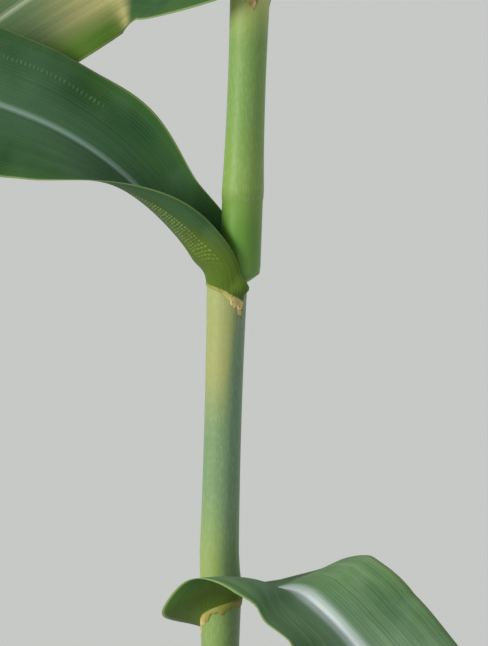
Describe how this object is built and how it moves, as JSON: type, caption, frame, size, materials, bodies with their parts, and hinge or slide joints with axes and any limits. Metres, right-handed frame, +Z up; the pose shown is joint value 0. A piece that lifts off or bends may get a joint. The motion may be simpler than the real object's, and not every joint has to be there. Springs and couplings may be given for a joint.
{
  "type": "sweet sorghum plant",
  "caption": "Rooted sweet sorghum plant: leaning cane with swollen joints, sleeve-like leaf sheaths, broad arching strap leaves on alternate sides and a rolled young leaf on top",
  "frame": {"origin": "centre of the flat cut under the stalk at ground level", "axes": "+Z up along the stalk, +X to the right and -Y to the front as seen in the picture; the leaves stand mostly in the X-Z plane"},
  "size_m": [1.0659, 0.4769, 2.0192],
  "materials": {
    "culm": "satin",
    "sheath": "satin",
    "blade": "satin",
    "young_leaf": "satin"
  },
  "bodies": {
    "root": {"culm": "culm", "leaf_1_sheath": "sheath", "leaf_1_blade": "blade", "leaf_2_sheath": "sheath", "leaf_2_blade_base": "blade", "leaf_2_blade_tip": "blade", "leaf_3_sheath": "sheath", "leaf_3_blade_base": "blade", "leaf_3_blade_tip": "blade", "leaf_4_sheath": "sheath", "leaf_4_blade_base": "blade", "leaf_4_blade_tip": "blade", "leaf_5_sheath": "sheath", "leaf_5_blade_base": "blade", "leaf_5_blade_tip": "blade", "leaf_6_sheath": "sheath", "leaf_6_blade_base": "blade", "leaf_6_blade_tip": "blade", "leaf_7_sheath": "sheath", "leaf_7_blade_base": "blade", "leaf_7_blade_tip": "blade", "leaf_8_sheath": "sheath", "leaf_8_blade_base": "blade", "leaf_8_blade_tip": "blade", "leaf_9_sheath": "sheath", "leaf_9_blade_base": "blade", "leaf_9_blade_tip": "blade", "leaf_10_sheath": "sheath", "leaf_10_blade_base": "blade", "leaf_10_blade_tip": "blade", "leaf_11_sheath": "sheath", "leaf_11_blade_base": "blade", "leaf_11_blade_tip": "blade", "leaf_12_sheath": "sheath", "leaf_12_blade": "young_leaf", "leaf_13_sheath": "sheath", "leaf_13_blade": "young_leaf", "rolled_leaf": "young_leaf"}
  },
  "joints": []
}
